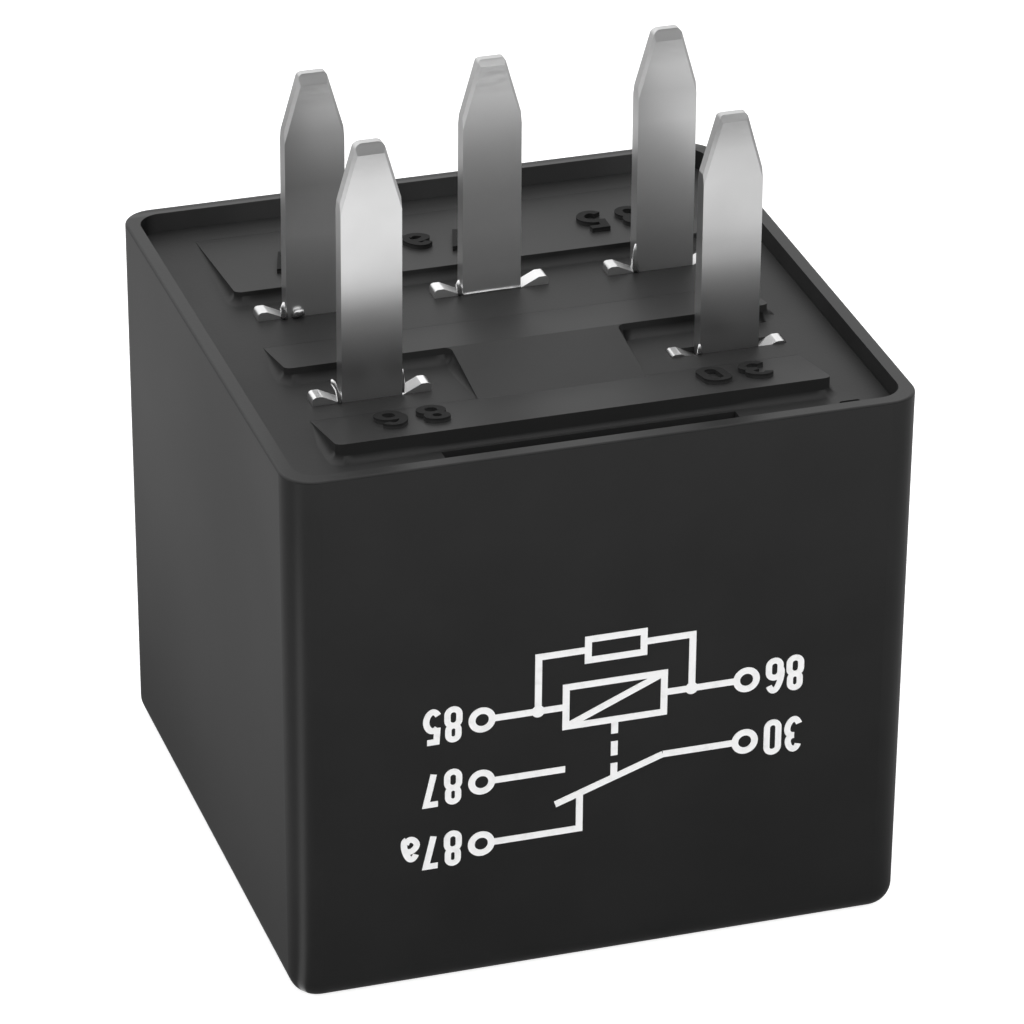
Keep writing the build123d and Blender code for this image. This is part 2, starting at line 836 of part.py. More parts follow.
# Normally open contact carrier: a wide drop on the left with a ledge that reaches the contact
open_left = left_x - carrier_half_w
open_right = left_x + carrier_half_w
with BuildPart() as terminal_87:
    carrier_strip(ledge_z + blade_t / 2, open_left, carrier_split_x)
    trim_box(
        open_right,
        carrier_split_x,
        back_row_y - blade_t,
        carrier_back + blade_t,
        ledge_z + blade_t + carrier_ledge_h,
        base_z + blade_t,
    )
    trim_box(
        open_left,
        closed_left,
        carrier_front - blade_t,
        carrier_back + blade_t,
        ledge_z - blade_t,
        ledge_z + blade_t + bend_r,
    )
    with BuildSketch(Plane.XZ.offset(-(back_row_y - blade_t / 2))):
        blade_sketch(left_x, open_blade_extra, shoulder_rise)
    extrude(amount=-blade_t)
    finish_blade(
        terminal_87, back_row_y, open_blade_extra, shoulder_rise, blade_tip_r, long_tip_bevel_h
    )
    shank_hole(ledge_z - blade_t, ledge_z + 2 * blade_t)

# Fixed contacts: rivets in the carriers
with BuildPart() as fixed_contact_87:
    with BuildSketch(Plane.XY.offset(closed_contact_z)):
        with Locations((leaf_x, contact_y)):
            Circle(contact_r)
    extrude(amount=fixed_contact_t)
    with BuildSketch(Plane.XY.offset(ledge_z)):
        with Locations((leaf_x, contact_y)):
            Circle(contact_shank_r)
    extrude(amount=blade_t)
    with BuildSketch(Plane.XY.offset(ledge_z + blade_t)):
        with Locations((leaf_x, contact_y)):
            Circle(rivet_head_r)
    extrude(amount=core_head_t, taper=20)

with BuildPart() as fixed_contact_87a:
    with BuildSketch(Plane.XY.offset(open_contact_z)):
        with Locations((leaf_x, contact_y)):
            Circle(contact_r)
    extrude(amount=-fixed_contact_t)
    with BuildSketch(Plane.XY.offset(foot_top_z)):
        with Locations((leaf_x, contact_y)):
            Circle(contact_shank_r)
    extrude(amount=-blade_t)
    with BuildSketch(Plane.XY.offset(foot_top_z - blade_t)):
        with Locations((leaf_x, contact_y)):
            Circle(rivet_head_r)
    extrude(amount=-core_head_t, taper=20)

# Yoke: an L of soft steel with two horns that keep the armature in place, and a spring lug
with BuildPart() as yoke:
    trim_box(
        -yoke_half_w, yoke_half_w, hinge_y, yoke_foot_back, foot_z, base_z, mode=Mode.ADD
    )
    trim_box(
        -yoke_half_w, yoke_half_w, hinge_y, yoke_in_y, hinge_z, base_z, mode=Mode.ADD
    )
    fillet(
        yoke.edges().filter_by(Axis.X).sort_by(lambda e: e.center().Z - e.center().Y)[-1],
        yoke_t / 2,
    )
    for side in (-1, 1):
        horn_mid = side * (yoke_half_w - horn_w / 2)
        trim_box(
            horn_mid - horn_w / 2,
            horn_mid + horn_w / 2,
            hinge_y,
            yoke_in_y,
            hinge_z - horn_h,
            hinge_z,
            mode=Mode.ADD,
        )
    trim_box(
        -spring_lug_half_w,
        spring_lug_half_w,
        spring_y - spring_lug_half_w / 2,
        hinge_y,
        lug_z,
        lug_z + spring_lug_t,
        mode=Mode.ADD,
    )
    with BuildSketch(Plane.XY.offset(lug_z)):
        with Locations((spring_r, lug_hole_y)):
            Circle(spring_wire)
    extrude(amount=spring_lug_t, mode=Mode.SUBTRACT)
    with BuildSketch(Plane.XY.offset(foot_z)):
        with Locations((0, coil_y)):
            Circle(core_neck_r + compound_gap)
        with Locations((-post_x, post_y), (post_x, post_y)):
            Circle(post_r + fit_gap)
    extrude(amount=yoke_t, mode=Mode.SUBTRACT)

# Core: pole face at the bottom, neck through the yoke, riveted head in the base's pocket
with BuildPart() as core:
    with BuildSketch(Plane.XZ.offset(-coil_y)):
        with BuildLine():
            Polyline(
                (0, hinge_z),
                (pole_r, hinge_z),
                (pole_r, pole_z),
                (core_r, pole_z),
                (core_r, foot_z),
                (core_neck_r, foot_z),
                (core_neck_r, base_z),
                (core_head_r, base_z),
                (core_neck_r, base_z + core_head_t),
                (0, base_z + core_head_t),
                close=True,
            )
        make_face()
    revolve(axis=Axis((0, coil_y, 0), (0, 0, 1)))

# Bobbin: tube, two flanges and an ear for each coil tail
with BuildPart() as bobbin:
    for level in (lower_flange_z, upper_flange_z):
        with BuildSketch(Plane.XY.offset(level)):
            with Locations((0, coil_y)):
                RectangleRounded(2 * flange_half_x, 2 * flange_half_y, corner_r)
        extrude(amount=flange_t)
    for tail_x, tail_y in ((left_tail_x, front_row_y), (right_tail_x, back_row_y)):
        side = math.copysign(1, tail_x)
        ear_out = tail_x + side * (tail_w / 2 + ear_margin)
        ear_in = side * (flange_half_x - corner_r)
        trim_box(
            min(ear_in, ear_out),
            max(ear_in, ear_out),
            tail_y - blade_t / 2 - ear_margin,
            tail_y + blade_t / 2 + ear_margin,
            upper_flange_z,
            upper_flange_top,
            mode=Mode.ADD,
        )
        with BuildSketch(Plane.XY.offset(upper_flange_z)):
            with Locations((tail_x, tail_y)):
                Rectangle(tail_w + 2 * fit_gap, blade_t + 2 * fit_gap)
        extrude(amount=flange_t, mode=Mode.SUBTRACT)
    with BuildSketch(Plane.XY.offset(lower_flange_z)):
        with Locations((0, coil_y)):
            Circle(tube_r)
    extrude(amount=upper_flange_top - lower_flange_z)
    with BuildSketch(Plane.XY.offset(lower_flange_z)):
        with Locations((0, coil_y)):
            Circle(tube_in_r)
    extrude(amount=upper_flange_top - lower_flange_z, mode=Mode.SUBTRACT)

# Winding
winding_low = lower_flange_top + fit_gap
winding_high = upper_flange_z - fit_gap
with BuildPart() as coil_winding:
    with BuildSketch(Plane.XY.offset(winding_low)):
        with Locations((0, coil_y)):
            Circle(winding_r)
            Circle(tube_r + compound_gap, mode=Mode.SUBTRACT)
    extrude(amount=winding_high - winding_low)

# Soldered wraps round the coil tails
joint_out_x = tail_w / 2 + joint_wall
joint_out_y = blade_t / 2 + joint_wall
with BuildPart() as solder_joints:
    with BuildSketch(Plane.XY.offset(joint_z)):
        with Locations((left_tail_x, front_row_y), (right_tail_x, back_row_y)):
            RectangleRounded(2 * joint_out_x, 2 * joint_out_y, joint_wall)
            Rectangle(
                tail_w + 2 * compound_gap, blade_t + 2 * compound_gap, mode=Mode.SUBTRACT
            )
    extrude(amount=joint_h)

# Thin coil ends from the winding to the wraps
with BuildPart() as coil_ends:
    lead_z = joint_z + joint_h / 2
    for tail_x, tail_y in ((left_tail_x, front_row_y), (right_tail_x, back_row_y)):
        side = math.copysign(1, tail_x)
        reach_x = tail_x - side * (joint_out_x + compound_gap)
        chord = tail_y - coil_y
        start_x = side * (math.sqrt(winding_r**2 - chord**2) + coil_wire_r)
        with BuildSketch(Plane.YZ.offset(min(start_x, reach_x))):
            with Locations((tail_y, lead_z)):
                Circle(coil_wire_r)
        extrude(amount=abs(reach_x - start_x))

# Suppression resistor beside the coil, across the two coil tails
resistor_z = base_z - resistor_drop
with BuildPart() as resistor:
    with BuildSketch(Plane.XZ.offset(-resistor_low_y)):
        with Locations((left_tail_x, resistor_z)):
            Circle(resistor_r)
    extrude(amount=-resistor_len)
    fillet(resistor.edges(), resistor_r / 3)

lead_top_z = joint_z + joint_h
with BuildPart() as resistor_leads:
    with BuildLine() as short_route:
        FilletPolyline(
            (left_tail_x, resistor_low_y, resistor_z),
            (left_tail_x, front_lead_y, resistor_z),
            (left_tail_x, front_lead_y, lead_top_z),
            radius=resistor_lead_bend,
        )
    with BuildSketch(Plane(origin=short_route.line @ 0, z_dir=short_route.line % 0)):
        Circle(resistor_lead_r)
    sweep(path=short_route.line)
    with BuildLine() as long_route:
        FilletPolyline(
            (left_tail_x, resistor_high_y, resistor_z),
            (left_tail_x, resistor_loop_y, resistor_z),
            (right_tail_x, resistor_loop_y, resistor_z),
            (right_tail_x, back_lead_y, resistor_z),
            (right_tail_x, back_lead_y, lead_top_z),
            radius=resistor_lead_bend,
        )
    with BuildSketch(Plane(origin=long_route.line @ 0, z_dir=long_route.line % 0)):
        Circle(resistor_lead_r)
    sweep(path=long_route.line)

# Armature at its rest angle, with a narrow neck between the horns and a tail for the spring
with BuildPart() as armature:
    with BuildSketch(arm_plane.offset(-armature_shim)):
        with BuildLine():
            Polyline(
                (-tail_half_w, -tail_reach),
                (tail_half_w, -tail_reach),
                (tail_half_w, -fit_gap),
                (neck_half_w, -fit_gap),
                (neck_half_w, neck_len),
                (armature_half_w, neck_len),
                (armature_half_w, armature_reach),
                (-armature_half_w, armature_reach),
                (-armature_half_w, neck_len),
                (-neck_half_w, neck_len),
                (-neck_half_w, -fit_gap),
                (-tail_half_w, -fit_gap),
                close=True,
            )
        make_face()
        with Locations((spring_r, tail_hole_y - hinge_y)):
            Circle(spring_wire, mode=Mode.SUBTRACT)
        with Locations((-rivet_x, rivet_reach), (rivet_x, rivet_reach)):
            Circle(rivet_r + compound_gap, mode=Mode.SUBTRACT)
    extrude(amount=-armature_t)

# Contact leaf: riveted under the armature, with an arm to the contact and a wing for the lead
leaf_base_end = leaf_start + leaf_base_len
wing_right = right_x + common_tail_w / 2
leaf_end = contact_reach + leaf_half_w
with BuildPart() as contact_leaf:
    with BuildSketch(arm_plane.offset(leaf_top)):
        with BuildLine():
            Polyline(
                (leaf_base_left, leaf_start),
                (leaf_base_right, leaf_start),
                (wing_right, leaf_base_end - leaf_wing_w),
                (wing_right, leaf_base_end),
                (leaf_x + leaf_half_w, leaf_base_end),
                (leaf_x + leaf_half_w, leaf_end),
                (leaf_x - leaf_half_w, leaf_end),
                (leaf_x - leaf_half_w, leaf_base_end),
                (leaf_base_left, leaf_base_end),
                close=True,
            )
        make_face()
        with Locations((-rivet_x, rivet_reach), (rivet_x, rivet_reach)):
            Circle(rivet_r + compound_gap, mode=Mode.SUBTRACT)
        with Locations((leaf_x, contact_reach)):
            Circle(contact_shank_r + compound_gap, mode=Mode.SUBTRACT)
    extrude(amount=-leaf_t)
    fillet(
        contact_leaf.edges().filter_by(
            lambda edge: edge.length < 2 * leaf_t and edge.center().Y > contact_y
        ),
        leaf_half_w / 2,
    )

# Rivets that hold the leaf to the armature
with BuildPart() as armature_rivets:
    rivet_places = [(-rivet_x, rivet_reach), (rivet_x, rivet_reach)]
    with BuildSketch(arm_plane.offset(leaf_bottom)):
        with Locations(*rivet_places):
            Circle(rivet_r)
    extrude(amount=armature_t + leaf_t)
    with BuildSketch(arm_plane.offset(-armature_shim)):
        with Locations(*rivet_places):
            Circle(rivet_head_r)
    extrude(amount=rivet_head_t, taper=25)
    with BuildSketch(arm_plane.offset(leaf_bottom)):
        with Locations(*rivet_places):
            Circle(rivet_head_r)
    extrude(amount=-rivet_head_t, taper=25)

# Moving contact: a rivet with a domed face on each side of the leaf
dome_drop = contact_dome_r - math.sqrt(contact_dome_r**2 - contact_r**2)
with BuildPart() as moving_contact:
    contact_plane = Plane(
        origin=arm_plane.from_local_coords((leaf_x, contact_reach, 0)),
        x_dir=(1, 0, 0),
        z_dir=(0, -cos_rest, sin_rest),
    )
    with BuildSketch(contact_plane):
        with BuildLine():
            Polyline(
                (0, contact_low),
                (0, contact_top),
            )
            ThreePointArc(
                (0, contact_top),
                (
                    contact_r / 2,
                    contact_top
                    - contact_dome_r
                    + math.sqrt(contact_dome_r**2 - contact_r**2 / 4),
                ),
                (contact_r, contact_top - dome_drop),
            )
            Polyline(
                (contact_r, contact_top - dome_drop),
                (contact_r, leaf_top),
                (contact_shank_r, leaf_top),
                (contact_shank_r, leaf_bottom),
                (contact_r, leaf_bottom),
                (contact_r, contact_low + dome_drop),
            )
            ThreePointArc(
                (contact_r, contact_low + dome_drop),
                (
                    contact_r / 2,
                    contact_low
                    + contact_dome_r
                    - math.sqrt(contact_dome_r**2 - contact_r**2 / 4),
                ),
                (0, contact_low),
            )
        make_face()
    revolve(axis=Axis(contact_plane.origin, arm_plane.z_dir))

# Return spring between the yoke's lug and the armature's tail, hooked through both
tail_top_z = rest_z(tail_hole_y - hinge_y, -armature_shim)
tail_low_z = rest_z(tail_hole_y - hinge_y, -armature_shim - armature_t)
spring_low = tail_top_z + spring_end
spring_high = lug_z - spring_end
spring_pitch = (spring_high - spring_low) / spring_turns
low_eye_z = tail_low_z - spring_wire
high_eye_z = lug_z + spring_lug_t + spring_wire
with BuildPart() as return_spring:
    with BuildLine() as spring_route:
        turns = Helix(
            spring_pitch, spring_high - spring_low, spring_r, center=(0, spring_y, spring_low)
        )
        low_leg = FilletPolyline(
            (spring_r - spring_end, tail_hole_y, low_eye_z),
            (spring_r, tail_hole_y, low_eye_z),
            (spring_r, tail_hole_y, spring_low - spring_bend_r),
            radius=spring_wire,
        )
        high_leg = FilletPolyline(
            (spring_r, lug_hole_y, spring_high + spring_bend_r),
            (spring_r, lug_hole_y, high_eye_z),
            (spring_r - spring_end, lug_hole_y, high_eye_z),
            radius=spring_wire,
        )
        Spline(low_leg @ 1, turns @ 0, tangents=(low_leg % 1, turns % 0))
        Spline(turns @ 1, high_leg @ 0, tangents=(turns % 1, high_leg % 0))
    spring_path = spring_route.wires()[0]
    with BuildSketch(Plane(origin=spring_path @ 0, z_dir=spring_path % 0)):
        Circle(spring_wire / 2)
    sweep(path=spring_path)

# Flexible braid from the common terminal to the leaf's wing
braid_face_y = front_row_y - blade_t / 2 - braid_t / 2
braid_top = base_z - common_tail_len + braid_weld
braid_level = leaf_top + braid_t / 2 + compound_gap
wing_front = leaf_base_end - leaf_wing_w
with BuildPart() as braid:
    with BuildSketch(Plane.YZ.offset(right_x - braid_w / 2)):
        with BuildLine():
            weld = Line((braid_face_y, braid_top), (braid_face_y, braid_top - braid_weld))
            landing = Line(
                (hinge_y + wing_front + braid_t / 2, rest_z(wing_front + braid_t / 2, braid_level)),
                (hinge_y + leaf_base_end, rest_z(leaf_base_end, braid_level)),
            )
            Spline(
                weld @ 1,
                (hinge_y + wing_front - braid_bow, (braid_top - braid_weld + hinge_z) / 2),
                landing @ 0,
                tangents=(weld % 1, landing % 0),
            )
        trace(line_width=braid_t)
    extrude(amount=braid_w)

pieces = {
    "cover": cover,
    "circuit_print": circuit_print,
    "base": base,
    "sealing_compound": compound,
    "terminal_30": terminal_30,
    "terminal_87": terminal_87,
    "terminal_87a": terminal_87a,
    "fixed_contact_87": fixed_contact_87,
    "fixed_contact_87a": fixed_contact_87a,
    "yoke": yoke,
    "core": core,
    "bobbin": bobbin,
    "coil_winding": coil_winding,
    "coil_ends": coil_ends,
    "solder_joints": solder_joints,
    "resistor": resistor,
    "resistor_leads": resistor_leads,
    "armature": armature,
    "contact_leaf": contact_leaf,
    "armature_rivets": armature_rivets,
    "moving_contact": moving_contact,
    "return_spring": return_spring,
    "braid": braid,
}
for name, piece in pieces.items():
    piece.part.label = name
    export_step(piece.part, f"parts/{name}.step")
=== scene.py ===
import math

import bpy
from mathutils import Matrix, Vector


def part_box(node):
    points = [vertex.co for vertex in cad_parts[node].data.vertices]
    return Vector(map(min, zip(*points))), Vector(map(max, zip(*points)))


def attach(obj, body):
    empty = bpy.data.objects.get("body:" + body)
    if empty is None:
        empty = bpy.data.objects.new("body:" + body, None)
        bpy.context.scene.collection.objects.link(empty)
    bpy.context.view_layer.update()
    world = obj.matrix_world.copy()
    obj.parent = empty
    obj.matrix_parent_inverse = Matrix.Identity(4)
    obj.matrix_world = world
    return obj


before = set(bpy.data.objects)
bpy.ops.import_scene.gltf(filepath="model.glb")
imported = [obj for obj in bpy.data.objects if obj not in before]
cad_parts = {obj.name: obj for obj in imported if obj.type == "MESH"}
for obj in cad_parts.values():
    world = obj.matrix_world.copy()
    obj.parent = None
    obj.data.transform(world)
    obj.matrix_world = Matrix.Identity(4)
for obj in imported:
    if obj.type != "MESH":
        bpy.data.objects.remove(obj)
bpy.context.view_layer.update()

MM = 0.001

# Noise textures stay within this span almost everywhere
noise_low = 0.3
noise_high = 0.7

# Fineness of the noise in the plastics, in waves per metre, and how deep their grain is
patch_scale = 220.0
gloss_scale = 60.0
grain_scale = 6500.0
grain_depth = 0.02 * MM


# Helpers for building node materials


def new_material(name):
    """A material with its node tree and its Principled shader."""
    material = bpy.data.materials.new(name)
    material.use_nodes = True
    tree = material.node_tree
    return material, tree, tree.nodes["Principled BSDF"]


def object_vector(tree, scale=(1, 1, 1)):
    """The frame's own coordinates, stretched by a scale."""
    coords = tree.nodes.new("ShaderNodeTexCoord")
    mapping = tree.nodes.new("ShaderNodeMapping")
    mapping.inputs["Scale"].default_value = scale
    tree.links.new(coords.outputs["Object"], mapping.inputs["Vector"])
    return mapping.outputs["Vector"]


def height_above(tree):
    """Height above the closed end, in metres."""
    coords = tree.nodes.new("ShaderNodeTexCoord")
    split = tree.nodes.new("ShaderNodeSeparateXYZ")
    tree.links.new(coords.outputs["Object"], split.inputs[0])
    return split.outputs["Z"]


def cloud(tree, vector, scale, detail=3.0):
    """Noise value of a given fineness."""
    texture = tree.nodes.new("ShaderNodeTexNoise")
    texture.inputs["Scale"].default_value = scale
    texture.inputs["Detail"].default_value = detail
    tree.links.new(vector, texture.inputs["Vector"])
    return texture.outputs["Fac"]


def remap(tree, value, low, high, to_low, to_high):
    """Value moved from one range to another and clamped."""
    ranged = tree.nodes.new("ShaderNodeMapRange")
    ranged.inputs["From Min"].default_value = low
    ranged.inputs["From Max"].default_value = high
    ranged.inputs["To Min"].default_value = to_low
    ranged.inputs["To Max"].default_value = to_high
    tree.links.new(value, ranged.inputs["Value"])
    return ranged.outputs["Result"]


def calculate(tree, operation, first, second):
    """One step of arithmetic; each input is a socket or a number."""
    step = tree.nodes.new("ShaderNodeMath")
    step.operation = operation
    for place, value in enumerate((first, second)):
        if isinstance(value, bpy.types.NodeSocket):
            tree.links.new(value, step.inputs[place])
        else:
            step.inputs[place].default_value = value
    return step.outputs[0]


def colour_ramp(tree, value, stops):
    """Colour read from stops of (place, colour)."""
    ramp = tree.nodes.new("ShaderNodeValToRGB")
    band = ramp.color_ramp
    while len(band.elements) < len(stops):
        band.elements.new(0.5)
    for element, (place, colour) in zip(band.elements, stops):
        element.position = place
        element.color = (*colour, 1.0)
    tree.links.new(value, ramp.inputs["Fac"])
    return ramp.outputs["Color"]


def bumps(tree, height, strength, distance):
    """Normal roughened by a height."""
    bump = tree.nodes.new("ShaderNodeBump")
    bump.inputs["Strength"].default_value = strength
    bump.inputs["Distance"].default_value = distance
    tree.links.new(height, bump.inputs["Height"])
    return bump.outputs["Normal"]


def multiply_colour(tree, colour, factor):
    """Colour scaled by a value."""
    scaled = tree.nodes.new("ShaderNodeVectorMath")
    scaled.operation = "SCALE"
    tree.links.new(colour, scaled.inputs[0])
    tree.links.new(factor, scaled.inputs["Scale"])
    return scaled.outputs[0]


def grey(level):
    """Colour without a tint."""
    return (level, level, level)


def patchy_colour(tree, vector, scale, dark, light):
    """Colour that drifts between two tones."""
    patches = cloud(tree, vector, scale, 4.0)
    return colour_ramp(tree, patches, [(noise_low, dark), (noise_high, light)])


def patchy_value(tree, noise, first, last):
    """Number that drifts between two values with a noise."""
    return remap(tree, noise, noise_low, noise_high, first, last)


def moulded_skin(tree, shader, vector, shine, grain):
    """Fine grain and even shine of a moulded surface."""
    fine = cloud(tree, vector, grain_scale, 2.0)
    tree.links.new(bumps(tree, fine, grain, grain_depth), shader.inputs["Normal"])
    shader.inputs["Specular IOR Level"].default_value = shine


# Materials


def moulded_plastic(name, dark, light, smooth, rough, shine, grain, inner_painted_light=1.0):
    """Moulded plastic with fine grain, faint cloudiness and slightly uneven gloss. The inner
    side of its rim is made paler by a factor: painted light on the inner wall."""
    material, tree, shader = new_material(name)
    vector = object_vector(tree)
    colour = patchy_colour(tree, vector, patch_scale, dark, light)
    # Painted light: a thin band at the inner side of the rim's back wall is made paler
    if inner_painted_light > 1:
        split = tree.nodes.new("ShaderNodeSeparateXYZ")
        tree.links.new(vector, split.inputs[0])
        inner_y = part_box("sealing_compound")[1].y
        edge = 0.2 * MM
        lit_inside = remap(tree, split.outputs["Y"], inner_y - edge, inner_y, 1.0, inner_painted_light)
        outside = remap(tree, split.outputs["Y"], inner_y + edge, inner_y + 2 * edge, 1.0, 0.0)
        lit_inside = calculate(tree, "MAXIMUM", calculate(tree, "MULTIPLY", lit_inside, outside), 1.0)
        colour = multiply_colour(tree, colour, lit_inside)
    tree.links.new(colour, shader.inputs["Base Color"])
    gloss = patchy_value(tree, cloud(tree, vector, gloss_scale, 2.0), smooth, rough)
    tree.links.new(gloss, shader.inputs["Roughness"])
    moulded_skin(tree, shader, vector, shine, grain)
    return material


def numbered_plastic(name, dark, light, smooth, rough, shine, grain):
    """Moulded plastic whose raised numbers are duller than the ridges and darkened with painted
    shade.
    """
    material, tree, shader = new_material(name)
    vector = object_vector(tree)
    split = tree.nodes.new("ShaderNodeSeparateXYZ")
    tree.links.new(vector, split.inputs[0])
    margin = 0.1
    side_start = 0.08 * MM
    side_end = 0.16 * MM
    raised = 0.0
    for start_y, end_y, rise in (back_ridge, front_ridge):
        slope = rise / (start_y - end_y)
        ramp_z = calculate(tree, "MULTIPLY", split.outputs["Y"], slope)
        above = calculate(tree, "ADD", split.outputs["Z"], ramp_z)
        above = calculate(tree, "SUBTRACT", above, seal_z + slope * start_y * MM)
        top = remap(tree, above, side_start, side_end, 0.0, 1.0)
        first = remap(tree, split.outputs["Y"], end_y * MM, (end_y + margin) * MM, 0.0, 1.0)
        last = remap(tree, split.outputs["Y"], (start_y - margin) * MM, start_y * MM, 1.0, 0.0)
        within = calculate(tree, "MULTIPLY", first, last)
        raised = calculate(tree, "MAXIMUM", raised, calculate(tree, "MULTIPLY", top, within))
    colour = patchy_colour(tree, vector, patch_scale, dark, light)
    # Painted shade: the tops of the raised numbers are darkened to half
    painted_number_shade = remap(tree, raised, 0.0, 1.0, 1.0, 0.5)
    tree.links.new(multiply_colour(tree, colour, painted_number_shade), shader.inputs["Base Color"])
    gloss = patchy_value(tree, cloud(tree, vector, gloss_scale, 2.0), smooth, rough)
    gloss = calculate(tree, "ADD", gloss, calculate(tree, "MULTIPLY", raised, 0.35))
    tree.links.new(gloss, shader.inputs["Roughness"])
    moulded_skin(tree, shader, vector, shine, grain)
    return material


def printed_ink():
    """Pad-printed white ink, thinner in specks."""
    material, tree, shader = new_material("white_print")
    speck = cloud(tree, object_vector(tree), 2600.0, 3.0)
    colour = colour_ramp(tree, speck, [(0.25, grey(0.88)), (0.5, grey(0.98))])
    tree.links.new(colour, shader.inputs["Base Color"])
    tree.links.new(patchy_value(tree, speck, 0.45, 0.6), shader.inputs["Roughness"])
    tree.links.new(bumps(tree, speck, 0.2, 0.01 * MM), shader.inputs["Normal"])
    return material


def tin_plate(node, dull, painted_profile):
    """Tin plate with soft cloudy marks and an uneven, duller coined tip. The profile gives its
    painted reflection and shade as tones at heights in millimetres above the sealing compound."""
    material, tree, shader = new_material(f"tin_{node}")
    shader.inputs["Metallic"].default_value = 1 - dull
    tip_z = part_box(node)[1].z
    height = height_above(tree)
    marks = cloud(tree, object_vector(tree), 350.0, 3.0)
    colour = colour_ramp(tree, marks, [(0.0, grey(0.9)), (1.0, grey(1.0))])
    full = tip_z - seal_z
    # Painted shade on the top face of the tip
    painted_tip_tone = 0.6
    end_depth = 0.1 * MM
    coin_start = tip_z - 1.6 * MM
    coin_full = tip_z - 0.3 * MM
    stops = [(level * MM / full, grey(painted_tone)) for level, painted_tone in painted_profile]
    stops += [((full - end_depth) / full, grey(painted_profile[-1][1])), (1.0, grey(painted_tip_tone))]
    # Painted reflection and shade: the colour is scaled by a tone that changes with height
    painted_tone = colour_ramp(tree, remap(tree, height, seal_z, tip_z, 0.0, 1.0), stops)
    tree.links.new(multiply_colour(tree, colour, painted_tone), shader.inputs["Base Color"])
    coined = remap(tree, height, coin_start, coin_full, 0.0, 1.0)
    gloss = remap(tree, marks, 0.0, 1.0, 0.34, 0.26)
    gloss = calculate(tree, "ADD", gloss, calculate(tree, "MULTIPLY", coined, 0.16))
    tree.links.new(gloss, shader.inputs["Roughness"])
    uneven = cloud(tree, object_vector(tree, (1.0, 1.0, 2.0)), 1500.0, 2.0)
    uneven = calculate(tree, "MULTIPLY", uneven, coined)
    tree.links.new(bumps(tree, uneven, 0.18, 0.12 * MM), shader.inputs["Normal"])
    return material


def plain_metal(name, dark, light, rough):
    """Metal with small cloudy marks and fine pitting."""
    material, tree, shader = new_material(name)
    shader.inputs["Metallic"].default_value = 1.0
    vector = object_vector(tree)
    marks = cloud(tree, vector, 700.0, 4.0)
    colour = colour_ramp(tree, marks, [(noise_low, dark), (noise_high, light)])
    tree.links.new(colour, shader.inputs["Base Color"])
    gloss = patchy_value(tree, marks, rough, rough + 0.12)
    tree.links.new(gloss, shader.inputs["Roughness"])
    fine = cloud(tree, vector, 4000.0, 2.0)
    tree.links.new(bumps(tree, fine, 0.1, 0.01 * MM), shader.inputs["Normal"])
    return material


def wound_copper():
    """Enamelled wire, wound turn beside turn up the bobbin, with painted shade in the grooves
    between turns.
    """
    wire_pitch = 0.14 * MM
    material, tree, shader = new_material("enamelled_copper")
    turns = calculate(tree, "MULTIPLY", height_above(tree), 2 * math.pi / wire_pitch)
    wave = calculate(tree, "SINE", turns, 0.0)
    # Painted shade: the colour darkens in the grooves between turns
    stops = [
        (0.0, (0.16, 0.045, 0.015)),
        (0.6, (0.56, 0.2, 0.075)),
        (1.0, (0.7, 0.3, 0.13)),
    ]
    colour = colour_ramp(tree, remap(tree, wave, -1, 1, 0, 1), stops)
    tree.links.new(colour, shader.inputs["Base Color"])
    shader.inputs["Metallic"].default_value = 0.8
    patch = cloud(tree, object_vector(tree), 300.0, 3.0)
    tree.links.new(patchy_value(tree, patch, 0.22, 0.34), shader.inputs["Roughness"])
    tree.links.new(bumps(tree, wave, 0.5, 0.06 * MM), shader.inputs["Normal"])
    return material


def woven_copper():
    """Braid of fine copper strands, with painted shade between the strands."""
    material, tree, shader = new_material("braid_copper")
    shader.inputs["Metallic"].default_value = 1.0
    weave = tree.nodes.new("ShaderNodeTexWave")
    weave.bands_direction = "DIAGONAL"
    weave.inputs["Scale"].default_value = 900.0
    weave.inputs["Distortion"].default_value = 2.0
    tree.links.new(object_vector(tree), weave.inputs["Vector"])
    strands = weave.outputs["Fac"]
    # Painted shade: the colour darkens in the low gaps between strands
    stops = [(0.1, (0.25, 0.09, 0.04)), (0.8, (0.72, 0.36, 0.2))]
    tree.links.new(colour_ramp(tree, strands, stops), shader.inputs["Base Color"])
    tree.links.new(remap(tree, strands, 0, 1, 0.45, 0.3), shader.inputs["Roughness"])
    tree.links.new(bumps(tree, strands, 0.5, 0.1 * MM), shader.inputs["Normal"])
    return material


def dress(name, material):
    """Gives a CAD node its material."""
    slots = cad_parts[name].data.materials
    slots.clear()
    slots.append(material)


seal_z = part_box("sealing_compound")[1].z

# Ridges of the base in millimetres: low edge, stepped front edge and rise
back_ridge = (12.4, 5.3, 0.6)
mid_ridge = (0.56, -3.1, 0.7)
front_ridge = (-7.05, -11.3, 0.88)
ridge_half = 11.45
ridge_corner = 0.35

# Saddle that fills the room between the middle and front ridges
saddle_left = -3.75
saddle_right = 4.11
saddle_front = -7.25
saddle_low = 0.04

black_shine = 0.25
pale_shine = 0.5
